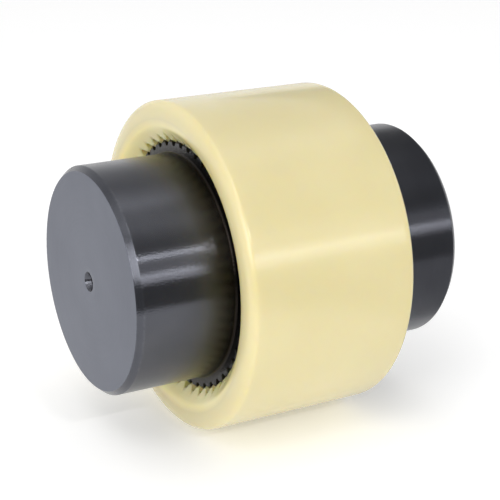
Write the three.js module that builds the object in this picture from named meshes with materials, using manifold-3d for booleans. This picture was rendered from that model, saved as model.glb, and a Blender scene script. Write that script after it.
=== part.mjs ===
// Curved-tooth gear coupling with a nylon sleeve.
//
// Two equal steel hubs stand end to end on one axis. Each carries a ring of crowned external teeth on its
// inner end. A nylon sleeve with straight internal teeth slides over both rings and carries the torque.
// A flat spring-steel snap ring at the sleeve's mid-plane sits between the hubs and keeps the sleeve in place.
//
// Units are millimetres. X is the axis of rotation, Z is up, and the origin is the coupling's centre.

import * as THREE from 'three';
import { mergeVertices } from 'three/addons/utils/BufferGeometryUtils.js';
import Module from 'manifold-3d';

const wasm = await Module();
wasm.setup();

// ---- Driving dimensions ------------------------------------------------------------------------------

const hubGap = 4; // between the hubs' inner faces
const hubLength = 52;
const bossRadius = 34;
const bossChamferAxial = 1.7;
const bossChamferRadial = 1.5;

const sleeveLength = 55;
const sleeveRadius = 50;
const roundingAxial = 2.4; // of the elliptical rounding on the outer edge of each end
const roundingRadial = 4.7;
const mouthDepth = 3.9; // of the conical lead-in, along the axis
const mouthRadius = 43.1; // where the lead-in meets the end face

const toothCount = 50;
const pitchRadius = 38;
const pressureAngle = THREE.MathUtils.degToRad(25);

const hubToothWidth = 21.4; // along the axis
const hubToothTipRadius = 39.1; // at the crown
const hubToothRootRadius = 36.2;
const toothEndChamfer = 1.2; // turned across the tips, at 45 degrees
const backlash = 0.25; // along the pitch circle, at the crown
const tipRelief = 0.7; // how much lower the tips are at a tooth's ends
const flankRelief = 0.22; // how much thinner each flank is at a tooth's ends

const sleeveToothTipRadius = 37;
const sleeveToothRootRadius = 39.8;
const toothEntryRadius = 38; // where the lead-in meets the chamfer on the teeth's ends
const toothEntryDepth = 1.4;

const centreHole = { mouthRadius: 3, drillRadius: 2, countersinkDepth: 1.7, depth: 9, tipDepth: 1.2 };

const ringThickness = 2;
const ringInnerRadius = 36.8;
const ringOuterRadius = 40.6;
const ringOpening = THREE.MathUtils.degToRad(16);
const ringClearance = 0.3; // to the groove's walls and floor

// ---- Derived dimensions ------------------------------------------------------------------------------

const toothPitchAngle = (2 * Math.PI) / toothCount;
const halfPitchThickness = (pitchRadius * toothPitchAngle) / 4;
const rootFillet = 0.9; // between the boss and the face of the tooth ring

const roundSegments = 2 * toothCount;
const arcSteps = 3;
const smallHoleSegments = 24;
const cutOverrun = 1;

// ---- Materials ---------------------------------------------------------------------------------------

const blackOxideSteel = new THREE.MeshStandardMaterial({ color: 0x2c2d31, roughness: 0.35, metalness: 0.9 });
const castNylon = new THREE.MeshStandardMaterial({ color: 0xe8dcaa, roughness: 0.4, metalness: 0 });
const springSteel = new THREE.MeshStandardMaterial({ color: 0x8d8f93, roughness: 0.3, metalness: 1 });

// ---- Helpers -----------------------------------------------------------------------------------------

function solid(geometry) {
  geometry.deleteAttribute('normal');
  geometry.deleteAttribute('uv');
  const merged = mergeVertices(geometry, 1e-5);
  return new wasm.Manifold(
    new wasm.Mesh({
      numProp: 3,
      vertProperties: new Float32Array(merged.attributes.position.array),
      triVerts: new Uint32Array(merged.index.array),
    }),
  );
}

function namedMesh(name, manifold, material) {
  const { vertProperties, triVerts } = manifold.getMesh();
  const geometry = new THREE.BufferGeometry();
  geometry.setAttribute('position', new THREE.BufferAttribute(vertProperties, 3));
  geometry.setIndex(new THREE.BufferAttribute(triVerts, 1));
  geometry.computeVertexNormals();
  const mesh = new THREE.Mesh(geometry, material);
  mesh.name = name;
  return mesh;
}

// Revolves a profile of (radius, x) points about the X axis.
function turned(points, segments = roundSegments) {
  const profile = points.map(([radius, x]) => new THREE.Vector2(radius, x));
  return new THREE.LatheGeometry(profile, segments).rotateZ(-Math.PI / 2);
}

// Points on an elliptical quarter arc in the (radius, x) plane, both ends included.
function quarterArc(centre, radii, startAngle) {
  return Array.from({ length: arcSteps + 1 }, (_, step) => {
    const angle = startAngle + (step / arcSteps) * (Math.PI / 2);
    return [centre[0] + radii[0] * Math.cos(angle), centre[1] + radii[1] * Math.sin(angle)];
  });
}

// Outline of a full ring of straight-flanked teeth, four points to a tooth.
function toothOutline(footRadius, tipRadius, halfThickness) {
  const halfAngleAt = (radius) => (halfThickness - (radius - pitchRadius) * Math.tan(pressureAngle)) / radius;
  const polar = (radius, angle) => new THREE.Vector2(radius * Math.cos(angle), radius * Math.sin(angle));
  const points = [];
  for (let tooth = 0; tooth < toothCount; tooth += 1) {
    const middle = tooth * toothPitchAngle;
    const foot = halfAngleAt(footRadius);
    const tip = halfAngleAt(tipRadius);
    points.push(polar(footRadius, middle - foot), polar(tipRadius, middle - tip));
    points.push(polar(tipRadius, middle + tip), polar(footRadius, middle + foot));
  }
  return new THREE.Shape(points);
}

// Extrudes an outline along X, centred on x = 0. The outline's own X and Y become Y and Z.
function extrudedAlongX(shape, length, steps = 1, curveSegments = 1) {
  const geometry = new THREE.ExtrudeGeometry(shape, { depth: length, steps, curveSegments, bevelEnabled: false });
  return geometry.translate(0, 0, -length / 2).rotateY(Math.PI / 2).rotateX(Math.PI / 2);
}

// Makes straight teeth barrel-shaped: lower tips and thinner flanks towards both ends.
function crown(geometry, width) {
  const position = geometry.attributes.position;
  for (let i = 0; i < position.count; i += 1) {
    const share = ((2 * position.getX(i)) / width) ** 2;
    const radius = Math.hypot(position.getY(i), position.getZ(i));
    const angle = Math.atan2(position.getZ(i), position.getY(i));
    const middle = Math.round(angle / toothPitchAngle) * toothPitchAngle;
    const onTip = radius > pitchRadius;
    const newRadius = onTip ? radius - tipRelief * share : radius;
    const newAngle = angle - (Math.sign(angle - middle) * flankRelief * share) / radius;
    position.setY(i, newRadius * Math.cos(newAngle));
    position.setZ(i, newRadius * Math.sin(newAngle));
  }
  return geometry;
}

// ---- Hub, with its inner face at x = 0 and its boss towards +X ---------------------------------------

function hub() {
  const teeth = toothOutline(hubToothRootRadius, hubToothTipRadius, halfPitchThickness - backlash / 2);
  const toothRing = crown(extrudedAlongX(teeth, hubToothWidth, 2), hubToothWidth);
  toothRing.translate(hubToothWidth / 2, 0, 0);

  const chamferRadius = hubToothTipRadius - tipRelief - toothEndChamfer; // at the end faces
  const reach = toothEndChamfer + cutOverrun;
  const tipEnvelope = turned([
    [0, -cutOverrun],
    [chamferRadius - cutOverrun, -cutOverrun],
    [chamferRadius + reach, reach],
    [chamferRadius + reach, hubToothWidth - reach],
    [chamferRadius - cutOverrun, hubToothWidth + cutOverrun],
    [0, hubToothWidth + cutOverrun],
  ]);

  const filletCentre = [bossRadius + rootFillet, hubToothWidth + rootFillet];
  const boss = turned([
    [0, cutOverrun],
    [filletCentre[0], cutOverrun],
    ...quarterArc(filletCentre, [rootFillet, rootFillet], Math.PI).reverse(),
    [bossRadius, hubLength - bossChamferAxial],
    [bossRadius - bossChamferRadial, hubLength],
    [0, hubLength],
  ]);

  const { mouthRadius: holeMouth, drillRadius, countersinkDepth, depth, tipDepth } = centreHole;
  const hole = turned(
    [
      [0, hubLength - depth - tipDepth],
      [drillRadius, hubLength - depth],
      [drillRadius, hubLength - countersinkDepth],
      [holeMouth, hubLength],
      [holeMouth, hubLength + cutOverrun],
      [0, hubLength + cutOverrun],
    ],
    smallHoleSegments,
  );
  return solid(toothRing).intersect(solid(tipEnvelope)).add(solid(boss)).subtract(solid(hole));
}

// ---- Sleeve, centred on the origin -------------------------------------------------------------------

function sleeve() {
  const end = sleeveLength / 2;
  const grooveHalfWidth = ringThickness / 2 + ringClearance;
  const grooveRadius = ringOuterRadius + ringClearance;

  // One end's profile, from the outer surface in to the groove; the other end mirrors it.
  const halfProfile = [
    ...quarterArc([sleeveRadius - roundingRadial, end - roundingAxial], [roundingRadial, roundingAxial], 0),
    [mouthRadius, end],
    [toothEntryRadius, end - mouthDepth],
    [sleeveToothTipRadius, end - mouthDepth - toothEntryDepth],
    [sleeveToothTipRadius, grooveHalfWidth],
    [grooveRadius, grooveHalfWidth],
  ];
  const mirrored = halfProfile.map(([radius, x]) => [radius, -x]).reverse();
  const blank = turned([...mirrored, ...halfProfile, mirrored[0]]);

  const spaces = toothOutline(sleeveToothTipRadius - cutOverrun / 2, sleeveToothRootRadius, halfPitchThickness);
  const cutter = extrudedAlongX(spaces, sleeveLength + 2 * cutOverrun);
  return solid(blank).subtract(solid(cutter));
}

// ---- Snap ring, centred on the origin ----------------------------------------------------------------

function snapRing() {
  const start = ringOpening / 2;
  const finish = 2 * Math.PI - start;
  const outline = new THREE.Shape();
  outline.absarc(0, 0, ringOuterRadius, start, finish, false);
  outline.absarc(0, 0, ringInnerRadius, finish, start, true);
  outline.closePath();
  return solid(extrudedAlongX(outline, ringThickness, 1, toothCount));
}

// ---- Assembly ----------------------------------------------------------------------------------------

const hubSolid = hub();
const group = new THREE.Group();

const drivenHub = namedMesh('driven_hub', hubSolid, blackOxideSteel);
drivenHub.position.x = hubGap / 2;

const drivingHub = namedMesh('driving_hub', hubSolid, blackOxideSteel);
drivingHub.rotation.z = Math.PI;
drivingHub.position.x = -hubGap / 2;

group.add(drivingHub, drivenHub);
group.add(namedMesh('sleeve', sleeve(), castNylon));
group.add(namedMesh('centre_snap_ring', snapRing(), springSteel));

export default group;
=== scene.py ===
"""Looks for the nylon-sleeve gear coupling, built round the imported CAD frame.

Lengths in the shape code are millimetres and are scaled to metres when a mesh is made. The camera's and
the studio's lengths are metres. X is the axis of rotation, Z is up and the origin is the coupling's centre.
"""

import math

import bmesh
import bpy
import numpy as np
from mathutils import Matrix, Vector


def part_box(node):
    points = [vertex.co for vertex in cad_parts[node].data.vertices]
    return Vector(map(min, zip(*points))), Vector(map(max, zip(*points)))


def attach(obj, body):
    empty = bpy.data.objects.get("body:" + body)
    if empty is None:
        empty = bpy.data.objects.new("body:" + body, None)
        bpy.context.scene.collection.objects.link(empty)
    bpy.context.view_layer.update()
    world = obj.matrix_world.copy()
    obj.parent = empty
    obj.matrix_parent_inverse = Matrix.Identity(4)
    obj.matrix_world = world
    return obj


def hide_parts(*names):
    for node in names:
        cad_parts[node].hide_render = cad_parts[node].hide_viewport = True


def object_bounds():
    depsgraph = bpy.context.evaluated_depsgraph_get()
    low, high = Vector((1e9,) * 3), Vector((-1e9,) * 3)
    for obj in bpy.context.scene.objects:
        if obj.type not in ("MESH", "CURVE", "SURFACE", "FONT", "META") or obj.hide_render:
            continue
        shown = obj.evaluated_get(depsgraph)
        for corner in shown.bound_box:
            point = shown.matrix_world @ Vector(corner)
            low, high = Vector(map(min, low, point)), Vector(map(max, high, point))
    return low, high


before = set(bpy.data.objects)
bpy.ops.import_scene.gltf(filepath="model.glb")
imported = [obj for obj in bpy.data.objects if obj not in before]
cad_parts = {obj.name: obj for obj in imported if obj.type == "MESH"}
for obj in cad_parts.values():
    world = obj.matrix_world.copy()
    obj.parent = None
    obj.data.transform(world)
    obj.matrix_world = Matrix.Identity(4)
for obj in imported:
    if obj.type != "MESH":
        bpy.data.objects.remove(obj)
cad_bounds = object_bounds()

MM = 0.001

# ---- Main sizes, read off the CAD pieces -------------------------------------------------------------

hub_low, hub_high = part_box("driven_hub")
sleeve_low, sleeve_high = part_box("sleeve")
ring_low, ring_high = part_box("centre_snap_ring")


def in_mm(metres):
    return round(metres / MM, 3)


HUB_GAP = in_mm(2 * hub_low.x)
HUB_LENGTH = in_mm(hub_high.x - hub_low.x)
SLEEVE_LENGTH = in_mm(sleeve_high.x - sleeve_low.x)
SLEEVE_RADIUS = in_mm(sleeve_high.z)
RING_THICKNESS = in_mm(ring_high.x - ring_low.x)
RING_OUTER_RADIUS = in_mm(-ring_low.y)

# ---- Details, the same as the CAD part's -------------------------------------------------------------

BOSS_RADIUS = 34.0
BOSS_CHAMFER_AXIAL = 1.7
BOSS_CHAMFER_RADIAL = 1.5
ROOT_FILLET = 0.9

TOOTH_COUNT = 50
PRESSURE_ANGLE = math.radians(25)
PITCH_RADIUS = 38.0
HALF_PITCH_THICKNESS = math.pi * PITCH_RADIUS / TOOTH_COUNT / 2

HUB_TOOTH_WIDTH = 21.4
HUB_TIP_RADIUS = 39.1
HUB_ROOT_RADIUS = 36.2
BACKLASH = 0.25
TIP_RELIEF = 0.7
FLANK_RELIEF = 0.22
TOOTH_CHAMFER = 1.2

ROUNDING_AXIAL = 2.4
ROUNDING_RADIAL = 4.7
MOUTH_DEPTH = 3.9
MOUTH_RADIUS = 43.1
SLEEVE_TIP_RADIUS = 37.0
SLEEVE_ROOT_RADIUS = 39.8
TOOTH_ENTRY_DEPTH = 1.4
TOOTH_ENTRY_RADIUS = 38.0

HOLE_MOUTH_RADIUS = 3.0
HOLE_DRILL_RADIUS = 2.0
COUNTERSINK_DEPTH = 1.7
HOLE_DEPTH = 9.0
HOLE_TIP_DEPTH = 1.2

RING_INNER_RADIUS = 36.8
RING_OPENING = math.radians(16)
RING_CLEARANCE = 0.3

# ---- Details that only the looks have ----------------------------------------------------------------

TOOTH_END_BREAK = 0.15  # of the edges at a hub tooth's ends
TURNED_EDGE_BREAK = 0.12  # of the edges of a hub's chamfer and hole
HOLE_INNER_BREAK = 0.1
FACE_COLUMNS = 100  # vertices round the middle of a hub's flat faces
FACE_RING_RADIUS = 12.0  # of those on the inner face
HOLE_TIP_RING_RADIUS = 0.3

MOUTH_ROUNDING = 6.3  # between the sleeve's lead-in and its end face
MOUTH_STEP = 0.16  # between the rings of vertices there
RUN_OUT_DEPTH = 0.45  # share of the tooth spaces' depth that is left on the lead-in
RUN_OUT_FADE = 0.5  # along the axis, to get there
RUN_OUT_SOFTNESS = 0.2

RING_EDGE_BREAK = 0.25
RING_STEPS = 240
RING_WEAR = 0.3

MOUTH_SHADE_START = SLEEVE_LENGTH / 2 - 1.5  # along the axis, where the painted shade on the hubs is darkest
MOUTH_SHADE_REACH = 7  # from there outwards

SQUARE_ON = 0.95  # how far along the axis a face's normal points if it was turned across the end
SHARP_ANGLE = math.radians(35)

# ---- Camera ------------------------------------------------------------------------------------------

CAMERA_AZIMUTH = math.radians(-28.84)
CAMERA_ELEVATION = math.radians(18.70)
CAMERA_DISTANCE = 0.4441
CAMERA_LENS = 104.1
CAMERA_PIVOT = Vector((-0.0056, 0, 0))
AIM_RIGHT = 0.01104  # of the distance, off the pivot
AIM_UP = 0.00383


def placed(name, data):
    """A new object in the scene."""
    piece = bpy.data.objects.new(name, data)
    bpy.context.scene.collection.objects.link(piece)
    return piece


def make_camera():
    back = Vector((
        math.sin(CAMERA_AZIMUTH) * math.cos(CAMERA_ELEVATION),
        -math.cos(CAMERA_AZIMUTH) * math.cos(CAMERA_ELEVATION),
        math.sin(CAMERA_ELEVATION),
    ))
    right = (-back).cross(Vector((0, 0, 1))).normalized()
    up = right.cross(-back)
    data = bpy.data.cameras.new("camera")
    data.lens = CAMERA_LENS
    data.sensor_width = 36
    data.clip_start = 0.01
    data.clip_end = 100
    camera = placed("camera", data)
    camera.location = CAMERA_PIVOT + back * CAMERA_DISTANCE
    aim = -back + right * AIM_RIGHT + up * AIM_UP
    camera.rotation_mode = "QUATERNION"
    camera.rotation_quaternion = aim.to_track_quat("-Z", "Y")
    bpy.context.scene.camera = camera


# ---- Profiles ----------------------------------------------------------------------------------------


def rounded(corners):
    """Points along a polyline whose corners are (u, v, rounding radius, steps)."""
    points = []
    for i, (u, v, radius, steps) in enumerate(corners):
        here = np.array([u, v])
        if radius <= 0 or i in (0, len(corners) - 1):
            points.append(here)
            continue
        before = np.array(corners[i - 1][:2]) - here
        after = np.array(corners[i + 1][:2]) - here
        before /= np.linalg.norm(before)
        after /= np.linalg.norm(after)
        half = math.acos(np.clip(before @ after, -1, 1)) / 2
        bisector = (before + after) / np.linalg.norm(before + after)
        centre = here + bisector * radius / math.sin(half)
        start = here + before * radius / math.tan(half) - centre
        finish = here + after * radius / math.tan(half) - centre
        turn = math.pi - 2 * half
        for step in range(steps + 1):
            share = step / steps
            weight_a = math.sin((1 - share) * turn) / math.sin(turn)
            weight_b = math.sin(share * turn) / math.sin(turn)
            points.append(centre + start * weight_a + finish * weight_b)
    return [tuple(p) for p in points]


def tooth_outline(root, tip, half_thickness, root_round=0.35, tip_round=0.2):
    """(angles, radii) round a full ring of teeth, the same number of points for any size."""

    def half_width(radius):
        angle = (half_thickness - (radius - PITCH_RADIUS) * math.tan(PRESSURE_ANGLE)) / radius
        return angle * PITCH_RADIUS

    half_pitch = math.pi * PITCH_RADIUS / TOOTH_COUNT
    flank = [root + (tip - root) * share for share in (0.35, 0.65)]
    half = rounded([
        (-half_pitch, root, 0, 0),
        (-half_width(root), root, root_round, 3),
        *[(-half_width(r), r, 0, 0) for r in flank],
        (-half_width(tip), tip, tip_round, 3),
        (0, tip, 0, 0),
    ])
    tooth = half + [(-u, v) for u, v in reversed(half[1:-1])]
    angles, radii = [], []
    for k in range(TOOTH_COUNT):
        middle = 2 * math.pi * k / TOOTH_COUNT
        angles += [middle + u / PITCH_RADIUS for u, _ in tooth]
        radii += [v for _, v in tooth]
    return np.array(angles), np.array(radii)


# ---- Meshes ------------------------------------------------------------------------------------------


class Surface:
    """A mesh made of rings of vertices about the X axis."""

    def __init__(self):
        self.vertices, self.edge_wear, self.faces = [], [], []

    def ring(self, x, angles, radii, wear=0.0):
        """Adds a ring of vertices and gives back their numbers."""
        start = len(self.vertices)
        radii = np.broadcast_to(radii, angles.shape)
        for angle, radius in zip(angles, radii):
            self.vertices.append((x, radius * math.cos(angle), radius * math.sin(angle)))
        self.edge_wear += [wear] * len(angles)
        return list(range(start, start + len(angles)))

    def join(self, a, b):
        """Quads from ring a to ring b."""
        n = len(a)
        self.faces += [(a[i], a[(i + 1) % n], b[(i + 1) % n], b[i]) for i in range(n)]

    def reduce(self, fine, coarse):
        """Fans from a fine ring in to a coarse one whose count divides it."""
        n, ratio = len(coarse), len(fine) // len(coarse)
        for i in range(n):
            for k in range(ratio):
                a = fine[i * ratio + k]
                b = fine[(i * ratio + k + 1) % len(fine)]
                self.faces.append((a, b, coarse[i]))
            last = fine[((i + 1) * ratio) % len(fine)]
            self.faces.append((last, coarse[(i + 1) % n], coarse[i]))

    def close(self, ring, x):
        """A fan from a ring to a point on the axis."""
        self.vertices.append((x, 0, 0))
        self.edge_wear.append(0.0)
        tip = len(self.vertices) - 1
        n = len(ring)
        self.faces += [(ring[i], ring[(i + 1) % n], tip) for i in range(n)]

    def build(self, name, material, end_material=None, shift_x=0.0, half_turn=False):
        """The object; faces turned across the end take the end material, if there is one."""
        points = np.array(self.vertices)
        points[:, 0] += shift_x
        if half_turn:
            points[:, :2] *= -1
        mesh = bpy.data.meshes.new(name)
        mesh.from_pydata((points * MM).tolist(), [], self.faces)
        wear = mesh.attributes.new("edge_wear", "FLOAT", "POINT")
        wear.data.foreach_set("value", np.array(self.edge_wear, np.float32))
        mesh.materials.append(material)
        mesh.update()
        face_outwards(mesh)
        if end_material is not None:
            mesh.materials.append(end_material)
            square_on = [int(abs(polygon.normal.x) > SQUARE_ON) for polygon in mesh.polygons]
            mesh.polygons.foreach_set("material_index", square_on)
        mesh.polygons.foreach_set("use_smooth", [True] * len(mesh.polygons))
        mesh.set_sharp_from_angle(angle=SHARP_ANGLE)
        return placed(name, mesh)


def face_outwards(mesh):
    """Turns every face of a closed mesh to point out."""
    work = bmesh.new()
    work.from_mesh(mesh)
    bmesh.ops.recalc_face_normals(work, faces=work.faces)
    work.to_mesh(mesh)
    work.free()


def wear_near(points, corners, reach):
    """How close each (x, r) profile point is to one of the corners, from 0 to 1."""
    corners = np.array(corners)
    found = []
    for p in points:
        distance = np.sqrt(((corners - np.array(p)) ** 2).sum(1)).min()
        found.append(math.exp(-((distance / reach) ** 2)))
    return found


# ---- Hub ---------------------------------------------------------------------------------------------


def hub_surface():
    """A hub with its inner face at x = 0 and its boss towards +X."""
    s = Surface()
    crown_half = HALF_PITCH_THICKNESS - BACKLASH / 2
    flank_inset = 0.6  # of the tip's
    worn_depth = 0.4  # below a tooth's tip
    columns = tooth_outline(HUB_ROOT_RADIUS, HUB_TIP_RADIUS, crown_half)[0]
    coarse = columns[:: len(columns) // FACE_COLUMNS]

    def tooth_ring(x, inset):
        """One section of the teeth; the inset breaks the edges at their ends."""
        share = (2 * x / HUB_TOOTH_WIDTH - 1) ** 2
        from_end = min(x, HUB_TOOTH_WIDTH - x)
        tip = HUB_TIP_RADIUS - TIP_RELIEF * share - max(inset, TOOTH_CHAMFER - from_end)
        half = crown_half - FLANK_RELIEF * share - inset * flank_inset
        angles, radii = tooth_outline(HUB_ROOT_RADIUS, tip, half)
        wear = np.clip(radii - (tip - worn_depth), 0, worn_depth) / worn_depth
        ring = s.ring(x, angles, radii)
        for vertex, value in zip(ring, wear):
            s.edge_wear[vertex] = 0.5 * float(value) + (0.5 if inset else 0.0)
        return ring

    # centre-drilled hole in the outer face
    hole_end = HUB_LENGTH - HOLE_DEPTH - HOLE_TIP_DEPTH
    hole = rounded([
        (hole_end, HOLE_TIP_RING_RADIUS, 0, 0),
        (HUB_LENGTH - HOLE_DEPTH, HOLE_DRILL_RADIUS, HOLE_INNER_BREAK, 2),
        (HUB_LENGTH - COUNTERSINK_DEPTH, HOLE_DRILL_RADIUS, HOLE_INNER_BREAK, 2),
        (HUB_LENGTH, HOLE_MOUTH_RADIUS, TURNED_EDGE_BREAK, 3),
        (HUB_LENGTH, HOLE_MOUTH_RADIUS + 2, 0, 0),
    ])
    hole_wear = wear_near(hole, [(HUB_LENGTH, HOLE_MOUTH_RADIUS)], 0.2)
    ring = None
    for (x, r), wear in zip(hole, hole_wear):
        new = s.ring(x, coarse, r, wear)
        if ring is None:
            s.close(new, hole_end)
        else:
            s.join(ring, new)
        ring = new

    # outer face, chamfer, boss and root fillet
    face_edge = BOSS_RADIUS - BOSS_CHAMFER_RADIAL
    shoulder = HUB_LENGTH - BOSS_CHAMFER_AXIAL
    boss = rounded([
        (HUB_LENGTH, face_edge - 1.5, 0, 0),
        (HUB_LENGTH, face_edge - 0.5, 0, 0),
        (HUB_LENGTH, face_edge, TURNED_EDGE_BREAK, 3),
        (HUB_LENGTH - 0.25 * BOSS_CHAMFER_AXIAL, face_edge + 0.25 * BOSS_CHAMFER_RADIAL, 0, 0),
        (HUB_LENGTH - 0.75 * BOSS_CHAMFER_AXIAL, face_edge + 0.75 * BOSS_CHAMFER_RADIAL, 0, 0),
        (shoulder, BOSS_RADIUS, TURNED_EDGE_BREAK, 3),
        (shoulder - 0.6, BOSS_RADIUS, 0, 0),
        (HUB_TOOTH_WIDTH + ROOT_FILLET + 0.1, BOSS_RADIUS, 0, 0),
        (HUB_TOOTH_WIDTH, BOSS_RADIUS, ROOT_FILLET, 6),
        (HUB_TOOTH_WIDTH, BOSS_RADIUS + 2 * ROOT_FILLET, 0, 0),
    ])
    boss_wear = wear_near(boss, [(HUB_LENGTH, face_edge), (shoulder, BOSS_RADIUS)], 0.25)
    outer = s.ring(boss[0][0], columns, boss[0][1], boss_wear[0])
    s.reduce(outer, ring)
    ring = outer
    for (x, r), wear in zip(boss[1:-1], boss_wear[1:-1]):
        new = s.ring(x, columns, r, wear)
        s.join(ring, new)
        ring = new

    # tooth ring, from the boss inwards; each break is (distance from the end, share of the inset)
    breaks = [(0.0, 1.0), (0.06, 0.55), (0.18, 0.18), (0.34, 0.0)]
    stations = [(HUB_TOOTH_WIDTH - d, TOOTH_END_BREAK * k) for d, k in breaks]
    stations += [(HUB_TOOTH_WIDTH - d, 0.0) for d in (0.8, TOOTH_CHAMFER)]
    stations += [(HUB_TOOTH_WIDTH * share, 0.0) for share in np.linspace(0.92, 0.08, 13)]
    stations += [(d, 0.0) for d in (TOOTH_CHAMFER, 0.8)]
    stations += [(d, TOOTH_END_BREAK * k) for d, k in reversed(breaks)]
    for x, inset in stations:
        new = tooth_ring(x, inset)
        s.join(ring, new)
        ring = new

    # inner face
    inner = s.ring(0.0, columns, HUB_ROOT_RADIUS - 1.2)
    s.join(ring, inner)
    middle = s.ring(0.0, coarse, FACE_RING_RADIUS)
    s.reduce(inner, middle)
    s.close(middle, 0.0)
    return s


# ---- Sleeve ------------------------------------------------------------------------------------------


def smooth_larger(a, b, softness):
    """The larger of two values, with the change from one to the other rounded off."""
    return 0.5 * (a + b + np.sqrt((a - b) ** 2 + softness**2))


def sleeve_surface():
    """The sleeve, centred on the origin.

    Its profile runs from the groove round one end, along the outside and back round the other end.
    """
    s = Surface()
    columns, spaces = tooth_outline(SLEEVE_TIP_RADIUS, SLEEVE_ROOT_RADIUS, HALF_PITCH_THICKNESS, 0.25, 0.18)
    end = SLEEVE_LENGTH / 2
    groove_half = RING_THICKNESS / 2 + RING_CLEARANCE
    groove_radius = RING_OUTER_RADIUS + RING_CLEARANCE

    mouth = rounded([
        (end - MOUTH_DEPTH - TOOTH_ENTRY_DEPTH - 2, SLEEVE_TIP_RADIUS, 0, 0),
        (end - MOUTH_DEPTH - TOOTH_ENTRY_DEPTH, SLEEVE_TIP_RADIUS, 0.4, 3),
        (end - MOUTH_DEPTH, TOOTH_ENTRY_RADIUS, 0.3, 3),
        (end, MOUTH_RADIUS, MOUTH_ROUNDING, 16),
        (end, SLEEVE_RADIUS - ROUNDING_RADIAL, 0, 0),
    ])
    fine = []
    fine_from = end - MOUTH_DEPTH - 2.5
    for (x0, r0), (x1, r1) in zip(mouth, mouth[1:]):
        steps = max(1, round(math.hypot(x1 - x0, r1 - r0) / MOUTH_STEP)) if x0 > fine_from else 1
        fine += [(x0 + (x1 - x0) * k / steps, r0 + (r1 - r0) * k / steps) for k in range(steps)]
    rounding = []
    rounding_steps = 10
    for step in range(rounding_steps + 1):
        angle = math.pi / 2 * (1 - step / rounding_steps)
        rounding.append((
            end - ROUNDING_AXIAL + ROUNDING_AXIAL * math.sin(angle),
            SLEEVE_RADIUS - ROUNDING_RADIAL + ROUNDING_RADIAL * math.cos(angle),
        ))
    body = [(end - ROUNDING_AXIAL - 1, SLEEVE_RADIUS), (end / 2, SLEEVE_RADIUS), (end / 4, SLEEVE_RADIUS)]
    half = [(groove_half, groove_radius), (groove_half, SLEEVE_TIP_RADIUS), *fine, *rounding, *body]
    profile = half + [(-x, r) for x, r in reversed(half)]

    def toothed(x, r):
        """The radii round one section; the tooth spaces are shallower where they run out on the lead-in."""
        if r <= SLEEVE_TIP_RADIUS:
            return spaces
        past_entry = min(max((abs(x) - (end - MOUTH_DEPTH)) / RUN_OUT_FADE, 0.0), 1.0)
        depth = 1 - (1 - RUN_OUT_DEPTH) * past_entry
        return smooth_larger(np.full(columns.shape, r), r + (spaces - r) * depth, RUN_OUT_SOFTNESS)

    plain_from = SLEEVE_ROOT_RADIUS + 0.8
    first = ring = None
    for x, r in profile:
        radii = toothed(x, r) if r < plain_from else r
        new = s.ring(x, columns, radii)
        if ring is None:
            first = new
        else:
            s.join(ring, new)
        ring = new
    s.join(ring, first)
    return s


# ---- Snap ring ---------------------------------------------------------------------------------------


def snap_ring_surface():
    """A flat ring, open over a short arc, with rounded edges."""
    s = Surface()
    half = RING_THICKNESS / 2 - RING_EDGE_BREAK
    outer = RING_OUTER_RADIUS - RING_EDGE_BREAK
    inner = RING_INNER_RADIUS + RING_EDGE_BREAK
    corner_steps = 3
    section = []
    for corner, (x, r) in enumerate([(half, outer), (-half, outer), (-half, inner), (half, inner)]):
        for step in range(corner_steps + 1):
            angle = math.pi / 2 * (corner + step / corner_steps)
            section.append((x + RING_EDGE_BREAK * math.cos(angle), r + RING_EDGE_BREAK * math.sin(angle)))
    n = len(section)
    turns = np.linspace(RING_OPENING / 2, 2 * math.pi - RING_OPENING / 2, RING_STEPS + 1)
    for angle in turns:
        for x, r in section:
            s.vertices.append((x, r * math.cos(angle), r * math.sin(angle)))
            s.edge_wear.append(RING_WEAR)
    for k in range(RING_STEPS):
        a, b = k * n, (k + 1) * n
        s.faces += [(a + i, a + (i + 1) % n, b + (i + 1) % n, b + i) for i in range(n)]
    s.faces.append(tuple(range(n)))
    last = RING_STEPS * n
    s.faces.append(tuple(last + i for i in reversed(range(n))))
    return s


# ---- Materials ---------------------------------------------------------------------------------------


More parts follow.
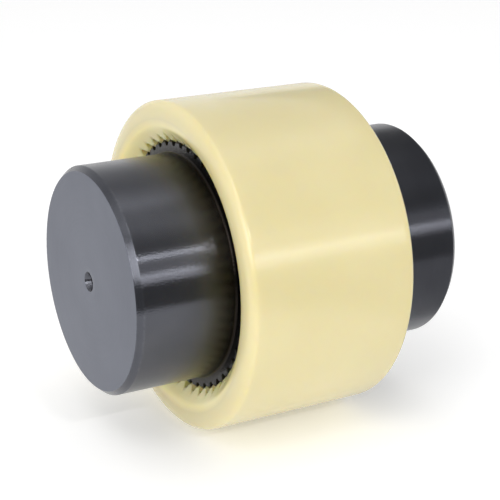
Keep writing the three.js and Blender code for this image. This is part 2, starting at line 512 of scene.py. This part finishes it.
class Nodes:
    """Short calls for building the node tree of a material or world."""

    def __init__(self, owner, shader):
        owner.use_nodes = True
        self.owner = owner
        self.tree = owner.node_tree
        self.shader = self.tree.nodes[shader]

    def add(self, kind, **settings):
        node = self.tree.nodes.new(kind)
        for key, value in settings.items():
            setattr(node, key, value)
        return node

    def link(self, a, b):
        self.tree.links.new(a, b)

    def put(self, value, socket):
        """Sets a socket to a number, or links it to another socket."""
        if isinstance(value, (int, float)):
            socket.default_value = value
        else:
            self.link(value, socket)

    def math(self, operation, a, b=None, clamp=False):
        node = self.add("ShaderNodeMath", operation=operation, use_clamp=clamp)
        self.put(a, node.inputs[0])
        if b is not None:
            self.put(b, node.inputs[1])
        return node.outputs[0]

    def noise(self, vector, scale, detail=2.0, roughness=0.5):
        node = self.add("ShaderNodeTexNoise")
        node.inputs["Scale"].default_value = scale
        node.inputs["Detail"].default_value = detail
        node.inputs["Roughness"].default_value = roughness
        self.link(vector, node.inputs["Vector"])
        return node.outputs["Fac"]

    def ramp(self, fac, stops):
        """A colour that changes with a value; each stop is (value, (r, g, b))."""
        node = self.add("ShaderNodeValToRGB")
        self.link(fac, node.inputs["Fac"])
        elements = node.color_ramp.elements
        while len(elements) < len(stops):
            elements.new(1.0)
        for element, (position, colour) in zip(elements, stops):
            element.position = position
            element.color = (*colour, 1)
        return node.outputs["Color"]

    def span(self, fac, low, high, from_low=0.0, from_high=1.0):
        """Stretches a value so that from_low becomes low and from_high becomes high."""
        node = self.add("ShaderNodeMapRange")
        self.link(fac, node.inputs["Value"])
        node.inputs["From Min"].default_value = from_low
        node.inputs["From Max"].default_value = from_high
        node.inputs["To Min"].default_value = low
        node.inputs["To Max"].default_value = high
        return node.outputs["Result"]

    def mix(self, fac, a, b):
        """Blends from colour a to colour b, which may be a plain (r, g, b)."""
        node = self.add("ShaderNodeMix", data_type="RGBA")
        colour_a, colour_b = node.inputs[6], node.inputs[7]
        self.link(fac, node.inputs[0])
        self.link(a, colour_a)
        if isinstance(b, tuple):
            colour_b.default_value = (*b, 1)
        else:
            self.link(b, colour_b)
        return node.outputs[2]

    def bump(self, height, distance, strength=1.0, under=None):
        node = self.add("ShaderNodeBump")
        self.put(strength, node.inputs["Strength"])
        node.inputs["Distance"].default_value = distance
        self.link(height, node.inputs["Height"])
        if under is not None:
            self.link(under, node.inputs["Normal"])
        return node.outputs["Normal"]

    def place(self):
        """(object coordinates, x, radius), in metres."""
        coordinates = self.add("ShaderNodeTexCoord").outputs["Object"]
        parts = self.add("ShaderNodeSeparateXYZ")
        self.link(coordinates, parts.inputs[0])
        x, y, z = parts.outputs
        square = self.math("ADD", self.math("MULTIPLY", y, y), self.math("MULTIPLY", z, z))
        return coordinates, x, self.math("SQRT", square)

    def lathe_marks(self, x, radius, scale):
        """Noise that depends on the place along the profile alone, as a turning tool leaves it."""
        combined = self.add("ShaderNodeCombineXYZ")
        self.link(x, combined.inputs[0])
        self.link(radius, combined.inputs[1])
        return self.noise(combined.outputs[0], scale, 3.0, 0.6)

    def wear(self):
        """How worn the surface is, from 0 to 1, as its mesh says."""
        return self.add("ShaderNodeAttribute", attribute_name="edge_wear").outputs["Fac"]


def new_material(name):
    return Nodes(bpy.data.materials.new(name), "Principled BSDF")


def black_oxide(name, anisotropic):
    """Blackened turned steel, whose shine is drawn out along the axis where it was turned round it. Its
    colour carries painted shade: darker near the sleeve's mouths and on the tooth ring.
    """
    n = new_material(name)
    coordinates, x, radius = n.place()
    marks = n.lathe_marks(x, radius, 2600)
    mottle = n.noise(coordinates, 45, 4.0)
    speckle = n.noise(coordinates, 1900, 2.0)

    # where on the hub a point lies
    from_middle = n.math("ABSOLUTE", x)
    on_face = n.math("GREATER_THAN", from_middle, (HUB_GAP / 2 + HUB_LENGTH - 0.05) * MM)
    in_gear = n.math("LESS_THAN", from_middle, (HUB_GAP / 2 + HUB_TOOTH_WIDTH + ROOT_FILLET) * MM)
    shade_end = MOUTH_SHADE_START + MOUTH_SHADE_REACH
    painted_mouth_shade = n.math("MAXIMUM", n.span(from_middle, 1.0, 0.0, MOUTH_SHADE_START * MM, shade_end * MM), 0.0)
    up_gear_face = n.span(radius, 0, 1, BOSS_RADIUS * MM, HUB_ROOT_RADIUS * MM)

    boss_colour = n.ramp(mottle, [(0.3, (0.08, 0.083, 0.097)), (0.7, (0.106, 0.109, 0.125))])
    face_colour = n.ramp(mottle, [(0.3, (0.138, 0.147, 0.18)), (0.7, (0.168, 0.178, 0.212))])
    # painted shade: the tooth ring is coloured far darker than the boss, darkest at the foot of its face
    # next to the boss
    painted_gear_shade = n.ramp(up_gear_face, [(0.4, (0.018, 0.015, 0.013)), (1.0, (0.026, 0.025, 0.025))])
    colour = n.mix(on_face, boss_colour, face_colour)
    # painted shade: the hubs' colour goes dark warm brown towards the sleeve's mouths
    colour = n.mix(n.math("MULTIPLY", painted_mouth_shade, 0.8), colour, (0.03, 0.025, 0.022))
    colour = n.mix(in_gear, colour, painted_gear_shade)
    patches = n.span(n.noise(coordinates, 900, 3.0), 0, 1, 0.35, 0.7)
    worn = n.math("MULTIPLY", n.wear(), patches, clamp=True)
    colour = n.mix(n.math("MULTIPLY", worn, 0.15), colour, (0.32, 0.33, 0.35))
    n.link(colour, n.shader.inputs["Base Color"])
    n.shader.inputs["Metallic"].default_value = 1.0

    boss_rough = n.span(n.math("ADD", marks, mottle), 0.205, 0.26, 0.6, 1.4)
    rough = n.math("ADD", boss_rough, n.math("MULTIPLY", on_face, 0.2))
    n.link(rough, n.shader.inputs["Roughness"])
    around = n.add("ShaderNodeTangent", direction_type="RADIAL", axis="X")
    n.link(around.outputs[0], n.shader.inputs["Tangent"])
    n.shader.inputs["Anisotropic"].default_value = anisotropic
    n.shader.inputs["Anisotropic Rotation"].default_value = 0.25

    normal = n.bump(marks, 0.004 * MM)
    normal = n.bump(speckle, 0.1 * MM, n.span(painted_mouth_shade, 0.2, 1.0), normal)
    n.link(normal, n.shader.inputs["Normal"])
    return n.owner


def cast_nylon():
    """Waxy cream nylon, slightly translucent, with painted light inside the mouths: the lead-ins and teeth
    are coloured lighter and warmer than the outside.
    """
    n = new_material("cast_nylon")
    coordinates, x, radius = n.place()
    marks = n.lathe_marks(x, radius, 1500)
    cloud = n.noise(coordinates, 28, 3.0)
    grain = n.noise(coordinates, 900, 3.0)

    # painted light: below the mouth's radius the nylon is coloured much lighter than outside
    outer = n.ramp(cloud, [(0.3, (0.672, 0.594, 0.326)), (0.7, (0.703, 0.628, 0.358))])
    inner = n.ramp(cloud, [(0.3, (0.93, 0.81, 0.36)), (0.7, (0.95, 0.83, 0.4))])
    past_mouth = n.span(radius, 0, 1, (MOUTH_RADIUS - 0.5) * MM, (MOUTH_RADIUS + 1.5) * MM)
    n.link(n.mix(past_mouth, inner, outer), n.shader.inputs["Base Color"])
    n.shader.inputs["Subsurface Weight"].default_value = 0.8
    n.shader.inputs["Subsurface Radius"].default_value = (1.0, 0.75, 0.35)
    n.shader.inputs["Subsurface Scale"].default_value = 3 * MM
    n.shader.inputs["IOR"].default_value = 1.53
    n.shader.inputs["Coat Weight"].default_value = 0.3
    n.shader.inputs["Coat Roughness"].default_value = 0.12
    rough = n.span(n.math("ADD", cloud, grain), 0.215, 0.26, 0.7, 1.3)
    n.link(rough, n.shader.inputs["Roughness"])

    normal = n.bump(marks, 0.006 * MM)
    normal = n.bump(grain, 0.002 * MM, under=normal)
    n.link(normal, n.shader.inputs["Normal"])
    return n.owner


def spring_steel():
    """Bright flat spring steel, paler along its worn edges."""
    n = new_material("spring_steel")
    coordinates = n.place()[0]
    marks = n.noise(coordinates, 1800, 3.0)
    blotch = n.noise(coordinates, 120, 3.0)
    colour = n.ramp(blotch, [(0.3, (0.36, 0.36, 0.37)), (0.7, (0.5, 0.5, 0.51))])
    n.link(n.mix(n.wear(), colour, (0.62, 0.62, 0.63)), n.shader.inputs["Base Color"])
    n.shader.inputs["Metallic"].default_value = 1.0
    n.link(n.span(marks, 0.29, 0.4, 0.3, 0.7), n.shader.inputs["Roughness"])
    n.link(n.bump(marks, 0.004 * MM), n.shader.inputs["Normal"])
    return n.owner


# ---- Studio ------------------------------------------------------------------------------------------


FLOOR_LEVEL = cad_bounds[0].z


def rectangle(left, right, near, far, level):
    """Vertices and face of a level rectangle."""
    corners = [(left, near, level), (right, near, level), (right, far, level), (left, far, level)]
    return corners, [(0, 1, 2, 3)]


def wall(reach, low, high, start, finish, steps):
    """Vertices and faces of an upright strip about the Z axis, from one azimuth to another, in degrees."""
    vertices, faces = [], []
    for step in range(steps + 1):
        azimuth = math.radians(start + (finish - start) * step / steps)
        for z in (low, high):
            vertices.append((reach * math.sin(azimuth), -reach * math.cos(azimuth), z))
    for step in range(steps):
        a = 2 * step
        faces.append((a, a + 2, a + 3, a + 1))
    return vertices, faces


def staged(name, shape, material):
    """A new object that isn't part of the coupling."""
    mesh = bpy.data.meshes.new(name)
    mesh.from_pydata(shape[0], [], shape[1])
    mesh.materials.append(material)
    piece = placed(name, mesh)
    return piece


def make_floor():
    n = new_material("floor_white")
    n.shader.inputs["Base Color"].default_value = (0.9, 0.9, 0.9, 1)
    n.shader.inputs["Roughness"].default_value = 0.7
    n.shader.inputs["Specular IOR Level"].default_value = 0.1
    n.shader.inputs["Emission Color"].default_value = (1, 1, 1, 1)
    n.shader.inputs["Emission Strength"].default_value = 0.23
    staged("floor", rectangle(-4, 4, -4, 4, FLOOR_LEVEL), n.owner)


def make_world():
    """A soft white tent, darker in front near the horizon, brighter overhead and behind."""
    world = bpy.data.worlds.new("studio")
    bpy.context.scene.world = world
    n = Nodes(world, "Background")
    direction = n.add("ShaderNodeSeparateXYZ")
    n.link(n.add("ShaderNodeTexCoord").outputs["Generated"], direction.inputs[0])
    forward = n.math("MULTIPLY", direction.outputs["Y"], -1)
    angle = n.math("ARCTAN2", direction.outputs["Z"], forward)
    # brightness by degrees above the front horizon, over the top to the back horizon
    stops = [
        (0, 0.26), (20, 0.3), (44, 0.36), (57, 0.55), (72, 0.75), (82, 0.86), (90, 1.3), (97, 1.15),
        (112, 0.7), (121, 0.66), (142, 0.75), (160, 1.0),
    ]
    share = n.span(angle, 0, 1, 0, math.pi)
    colour = n.ramp(share, [(degrees / 180, (value, value, value)) for degrees, value in stops])
    n.link(colour, n.shader.inputs["Color"])
    n.shader.inputs["Strength"].default_value = 1.0


def area_light(name, azimuth, elevation, distance, size, power):
    """A rectangle of light facing the origin; azimuth runs from -Y towards +X, both angles in degrees."""
    data = bpy.data.lights.new(name, "AREA")
    data.shape = "RECTANGLE"
    data.size, data.size_y = size
    data.energy = power
    light = placed(name, data)
    a, e = math.radians(azimuth), math.radians(elevation)
    away = Vector((math.sin(a) * math.cos(e), -math.cos(a) * math.cos(e), math.sin(e)))
    light.location = away * distance
    light.rotation_mode = "QUATERNION"
    light.rotation_quaternion = away.to_track_quat("Z", "Y")
    light.visible_camera = False
    return light


def keep_off(light, piece):
    """Stops a light from reaching one piece."""
    left_out = bpy.data.collections.new(light.name + "_left_out")
    left_out.objects.link(piece)
    left_out.collection_objects[0].light_linking.link_state = "EXCLUDE"
    light.light_linking.receiver_collection = left_out


def make_lights():
    # soft front lights, whose reflection is the broad band on the bosses
    area_light("front_softbox", azimuth=20, elevation=13, distance=1.4, size=(0.76, 0.22), power=1.3)
    area_light("band_core", azimuth=26, elevation=14.3, distance=1.4, size=(0.5, 0.03), power=0.35)
    area_light("front_fill", azimuth=20, elevation=23.3, distance=1.4, size=(0.76, 0.28), power=0.5)

    # a narrow lamp, whose reflection is the thin line on the sleeve and the driving hub
    lamp = area_light("lamp", azimuth=2, elevation=33, distance=1.4, size=(0.12, 0.01), power=2.6)
    keep_off(lamp, driven)

    # main lights, from the left
    area_light("key", azimuth=-55, elevation=19, distance=1.3, size=(0.9, 0.6), power=6.5)
    area_light("high_key", azimuth=-45, elevation=55, distance=1.3, size=(0.5, 0.4), power=2.0)


def glowing_sheet(name, shape, glow, to_camera=False):
    """An even glow, seen either by the camera alone or in reflections alone."""
    n = new_material(name + "_glow")
    n.shader.inputs["Base Color"].default_value = (0, 0, 0, 1)
    n.shader.inputs["Specular IOR Level"].default_value = 0.0
    n.shader.inputs["Emission Color"].default_value = (1, 1, 1, 1)
    n.shader.inputs["Emission Strength"].default_value = glow
    piece = staged(name, shape, n.owner)
    piece.visible_camera, piece.visible_glossy = to_camera, not to_camera
    piece.visible_diffuse = piece.visible_shadow = False
    piece.visible_transmission = piece.visible_volume_scatter = False


def make_sheets():
    # a pale wall right round the floor, for the camera
    glowing_sheet("backdrop", wall(3.9, -0.2, 3.0, -180, 180, 48), 1.0, to_camera=True)

    # painted reflections, seen in reflections alone: a dark strip round the front, a grey sheet on the
    # floor, front right, for the floor's shadow there, and a dark flag over the driven hub, for shade above
    # it
    glowing_sheet("painted_front_reflection", wall(0.22, -0.05, 0.02, -80, 70, 24), 0.28)
    glowing_sheet("painted_floor_shadow", rectangle(0.058, 0.6, -0.6, -0.02, FLOOR_LEVEL + 0.5 * MM), 0.5)
    glowing_sheet("painted_hub_shade", rectangle(0.052, 0.2, -0.12, 0.12, 0.09), 0.25)


# ---- Assembly ----------------------------------------------------------------------------------------

make_camera()
bpy.context.scene.view_settings.view_transform = "Standard"

turned = black_oxide("black_oxide_turned", 1.0)
faced = black_oxide("black_oxide_faced", 0.0)
hub = hub_surface()

driven = hub.build("driven_hub_steel", turned, faced, shift_x=HUB_GAP / 2)
driving = hub.build("driving_hub_steel", turned, faced, shift_x=HUB_GAP / 2, half_turn=True)
sleeve = sleeve_surface().build("sleeve_nylon", cast_nylon())
ring = snap_ring_surface().build("centre_snap_ring_steel", spring_steel())

for piece, node, body, slot in (
    (driving, "driving_hub", "driving_hub", "hub_steel"),
    (driven, "driven_hub", "driven_hub", "hub_steel"),
    (sleeve, "sleeve", "sleeve", "sleeve_nylon"),
    (ring, "centre_snap_ring", "sleeve", "ring_steel"),
):
    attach(piece, body)
    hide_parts(node)

make_floor()
make_world()
make_lights()
make_sheets()
